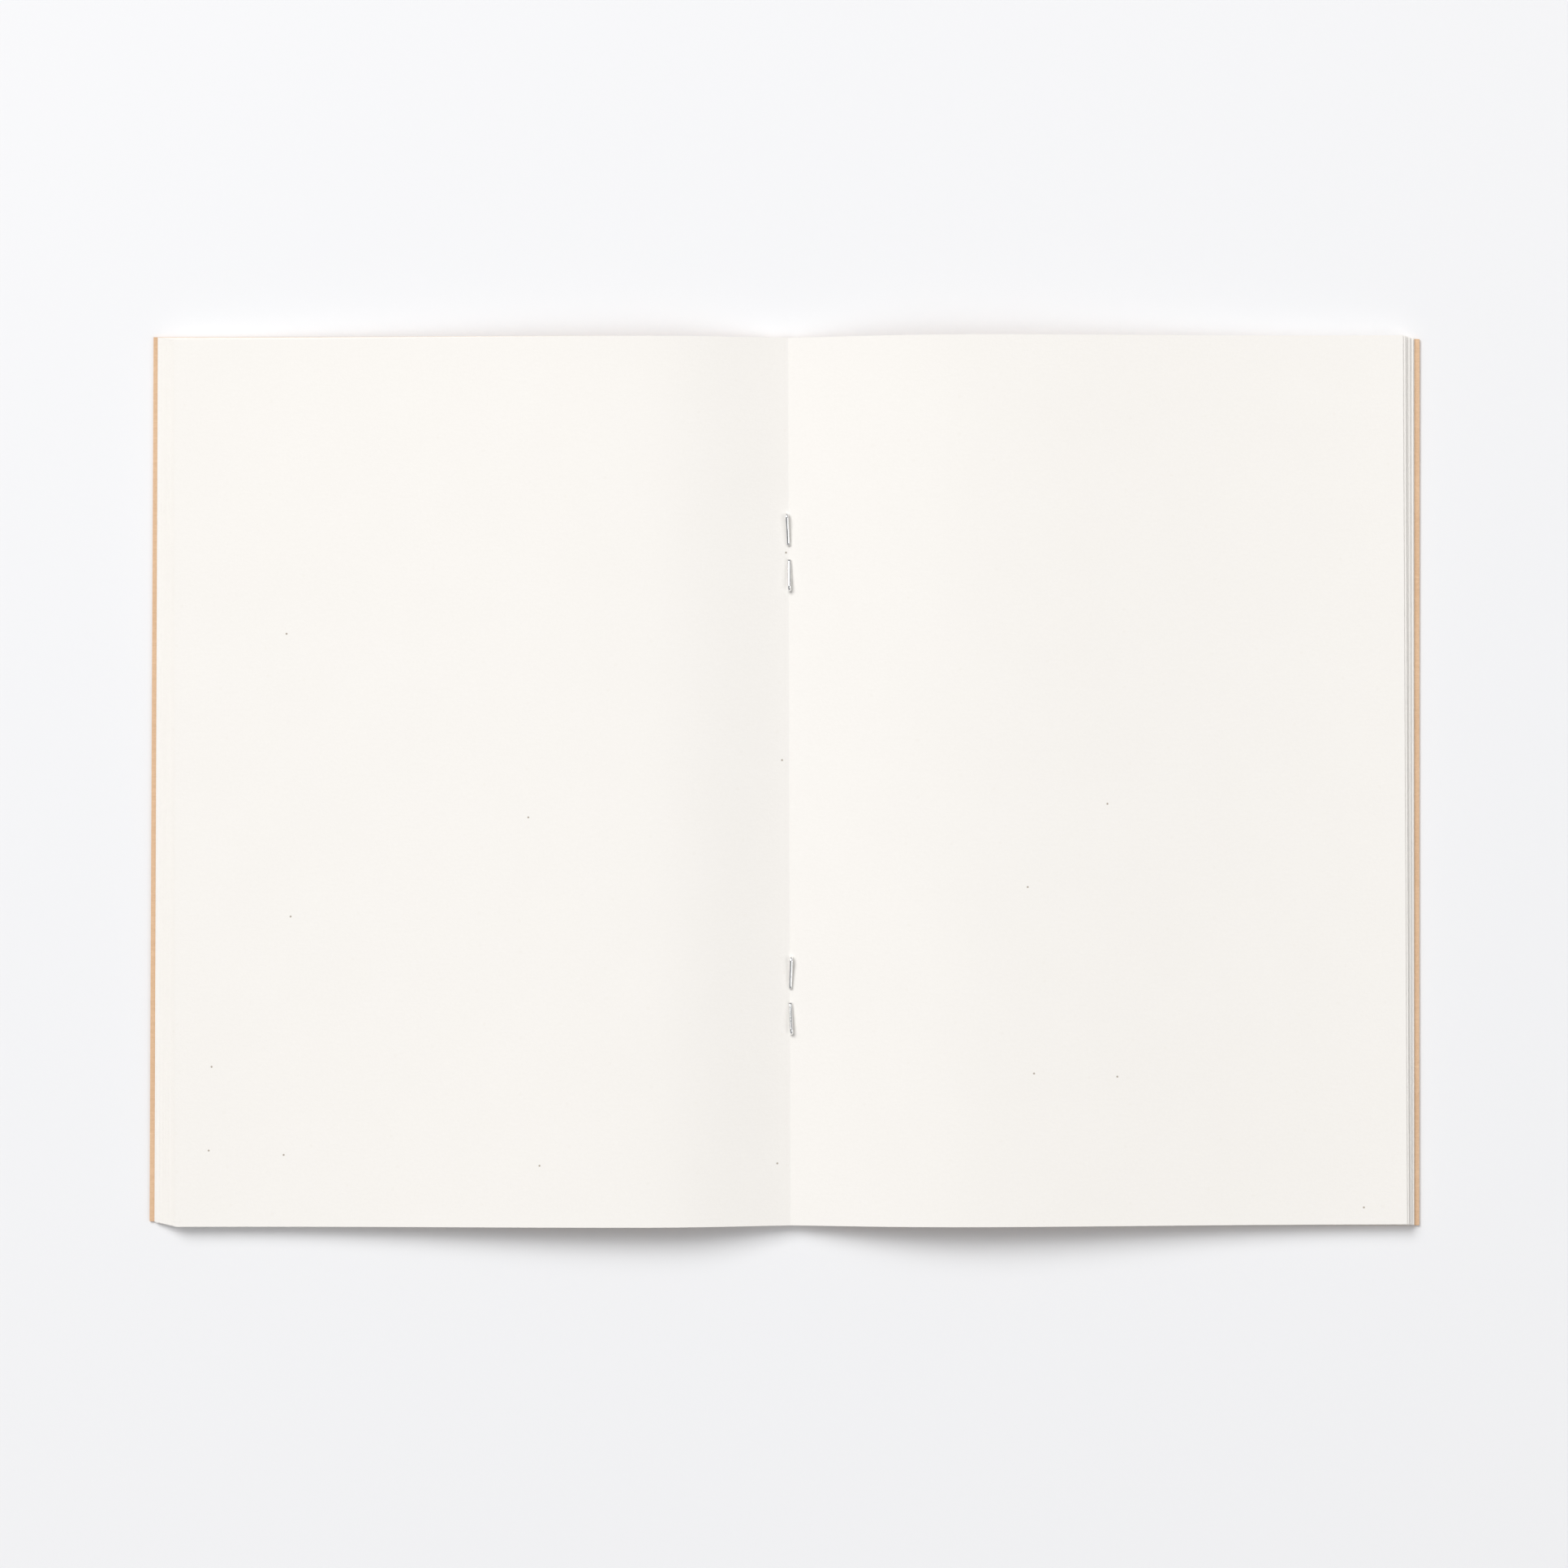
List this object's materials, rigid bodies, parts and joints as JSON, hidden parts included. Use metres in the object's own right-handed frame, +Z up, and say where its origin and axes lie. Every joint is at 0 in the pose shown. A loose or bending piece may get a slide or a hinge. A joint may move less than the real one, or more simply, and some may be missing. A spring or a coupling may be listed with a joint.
{
  "type": "sketchbook",
  "caption": "Small stapled sketchbook lying open at its centre spread, with a plain kraft card cover and cream drawing paper; it closes at the fold and its centre leaf turns.",
  "frame": {"origin": "on the table, at the middle of the cover's outside box, under the spine", "axes": "+Z up from the table, +Y to the head of the pages along the spine, +X from the spine to the back cover's fore edge"},
  "size_m": [0.1776, 0.1249, 0.003],
  "materials": {
    "kraft_cover": "matte uncoated kraft card with fine fibres",
    "drawing_paper": "matte uncoated cream drawing paper with a fine tooth",
    "staple_wire": "bright galvanised steel wire"
  },
  "bodies": {
    "book_block": {"cover_back": "kraft_cover", "cover_spine": "kraft_cover", "sheet_1_fold": "drawing_paper", "sheet_2_fold": "drawing_paper", "sheet_3_fold": "drawing_paper", "sheet_4_fold": "drawing_paper", "sheet_5_fold": "drawing_paper", "sheet_6_fold": "drawing_paper", "sheet_7_fold": "drawing_paper", "sheet_8_fold": "drawing_paper", "staple_foot": "staple_wire", "staple_head": "staple_wire"},
    "front_cover": {"cover_front": "kraft_cover"},
    "left_leaf_1": {"sheet_1_left_leaf": "drawing_paper"},
    "right_leaf_1": {"sheet_1_right_leaf": "drawing_paper"},
    "left_leaf_2": {"sheet_2_left_leaf": "drawing_paper"},
    "right_leaf_2": {"sheet_2_right_leaf": "drawing_paper"},
    "left_leaf_3": {"sheet_3_left_leaf": "drawing_paper"},
    "right_leaf_3": {"sheet_3_right_leaf": "drawing_paper"},
    "left_leaf_4": {"sheet_4_left_leaf": "drawing_paper"},
    "right_leaf_4": {"sheet_4_right_leaf": "drawing_paper"},
    "left_leaf_5": {"sheet_5_left_leaf": "drawing_paper"},
    "right_leaf_5": {"sheet_5_right_leaf": "drawing_paper"},
    "left_leaf_6": {"sheet_6_left_leaf": "drawing_paper"},
    "right_leaf_6": {"sheet_6_right_leaf": "drawing_paper"},
    "left_leaf_7": {"sheet_7_left_leaf": "drawing_paper"},
    "right_leaf_7": {"sheet_7_right_leaf": "drawing_paper"},
    "left_leaf_8": {"sheet_8_left_leaf": "drawing_paper"},
    "right_leaf_8": {"sheet_8_right_leaf": "drawing_paper"}
  },
  "joints": [
    {"name": "front_cover_close", "type": "hinge", "parent": "book_block", "child": "front_cover", "pos_m": [0, 0, 0.00216], "axis": [0, 1, 0], "range_deg": [0, 180]},
    {"name": "sheet_2_right_settle", "type": "slide", "parent": "book_block", "child": "right_leaf_2", "axis": [1, 0, 0], "range_m": [0, 0.00175]},
    {"name": "sheet_3_right_settle", "type": "slide", "parent": "book_block", "child": "right_leaf_3", "axis": [1, 0, 0], "range_m": [0, 0.00157]},
    {"name": "sheet_4_right_settle", "type": "slide", "parent": "book_block", "child": "right_leaf_4", "axis": [1, 0, 0], "range_m": [0, 0.00139]},
    {"name": "sheet_5_right_settle", "type": "slide", "parent": "book_block", "child": "right_leaf_5", "axis": [1, 0, 0], "range_m": [0, 0.00121]},
    {"name": "sheet_6_right_settle", "type": "slide", "parent": "book_block", "child": "right_leaf_6", "axis": [1, 0, 0], "range_m": [0, 0.00104]},
    {"name": "sheet_7_right_settle", "type": "slide", "parent": "book_block", "child": "right_leaf_7", "axis": [1, 0, 0], "range_m": [0, 0.0008574]},
    {"name": "sheet_8_right_settle", "type": "slide", "parent": "book_block", "child": "right_leaf_8", "axis": [1, 0, 0], "range_m": [0, 0.0006794]},
    {"name": "page_turn", "type": "hinge", "parent": "right_leaf_2", "child": "right_leaf_1", "pos_m": [0.00065, -0.00015, 0.00216], "axis": [-0.0052, 1, 0], "range_deg": [-145, 0]},
    {"name": "sheet_1_left_close", "type": "hinge", "parent": "right_leaf_2", "child": "left_leaf_1", "pos_m": [0.00065, -0.00015, 0.00216], "axis": [-0.0052, 1, 0], "range_deg": [0, 180]},
    {"name": "sheet_2_left_close", "type": "hinge", "parent": "right_leaf_2", "child": "left_leaf_2", "pos_m": [0.00055, -0.00013, 0.00216], "axis": [-0.0046, 1, 0], "range_deg": [0, 180]},
    {"name": "sheet_3_left_close", "type": "hinge", "parent": "right_leaf_3", "child": "left_leaf_3", "pos_m": [0.00045, -0.00011, 0.00216], "axis": [-0.0039, 1, 0], "range_deg": [0, 180]},
    {"name": "sheet_4_left_close", "type": "hinge", "parent": "right_leaf_4", "child": "left_leaf_4", "pos_m": [0.00035, -0.00009, 0.00216], "axis": [-0.0033, 1, 0], "range_deg": [0, 180]},
    {"name": "sheet_5_left_close", "type": "hinge", "parent": "right_leaf_5", "child": "left_leaf_5", "pos_m": [0.00024, -0.00007, 0.00216], "axis": [-0.0026, 1, 0], "range_deg": [0, 180]},
    {"name": "sheet_6_left_close", "type": "hinge", "parent": "right_leaf_6", "child": "left_leaf_6", "pos_m": [0.00014, -0.00006, 0.00216], "axis": [-0.002, 1, 0], "range_deg": [0, 180]},
    {"name": "sheet_7_left_close", "type": "hinge", "parent": "right_leaf_7", "child": "left_leaf_7", "pos_m": [0.00004, -0.00004, 0.00216], "axis": [-0.0013, 1, 0], "range_deg": [0, 180]},
    {"name": "sheet_8_left_close", "type": "hinge", "parent": "right_leaf_8", "child": "left_leaf_8", "pos_m": [-0.00006, -0.00002, 0.00216], "axis": [-0.0007, 1, 0], "range_deg": [0, 180]}
  ],
  "couplings": [
    {"joint": "sheet_2_right_settle", "follows": "front_cover_close", "m_per_rad": 0.00055621},
    {"joint": "sheet_3_right_settle", "follows": "front_cover_close", "m_per_rad": 0.00049956},
    {"joint": "sheet_4_right_settle", "follows": "front_cover_close", "m_per_rad": 0.0004429},
    {"joint": "sheet_5_right_settle", "follows": "front_cover_close", "m_per_rad": 0.00038624},
    {"joint": "sheet_6_right_settle", "follows": "front_cover_close", "m_per_rad": 0.00032958},
    {"joint": "sheet_7_right_settle", "follows": "front_cover_close", "m_per_rad": 0.00027292},
    {"joint": "sheet_8_right_settle", "follows": "front_cover_close", "m_per_rad": 0.00021626},
    {"joint": "sheet_1_left_close", "follows": "front_cover_close", "ratio": 1},
    {"joint": "sheet_2_left_close", "follows": "front_cover_close", "ratio": 1},
    {"joint": "sheet_3_left_close", "follows": "front_cover_close", "ratio": 1},
    {"joint": "sheet_4_left_close", "follows": "front_cover_close", "ratio": 1},
    {"joint": "sheet_5_left_close", "follows": "front_cover_close", "ratio": 1},
    {"joint": "sheet_6_left_close", "follows": "front_cover_close", "ratio": 1},
    {"joint": "sheet_7_left_close", "follows": "front_cover_close", "ratio": 1},
    {"joint": "sheet_8_left_close", "follows": "front_cover_close", "ratio": 1}
  ]
}
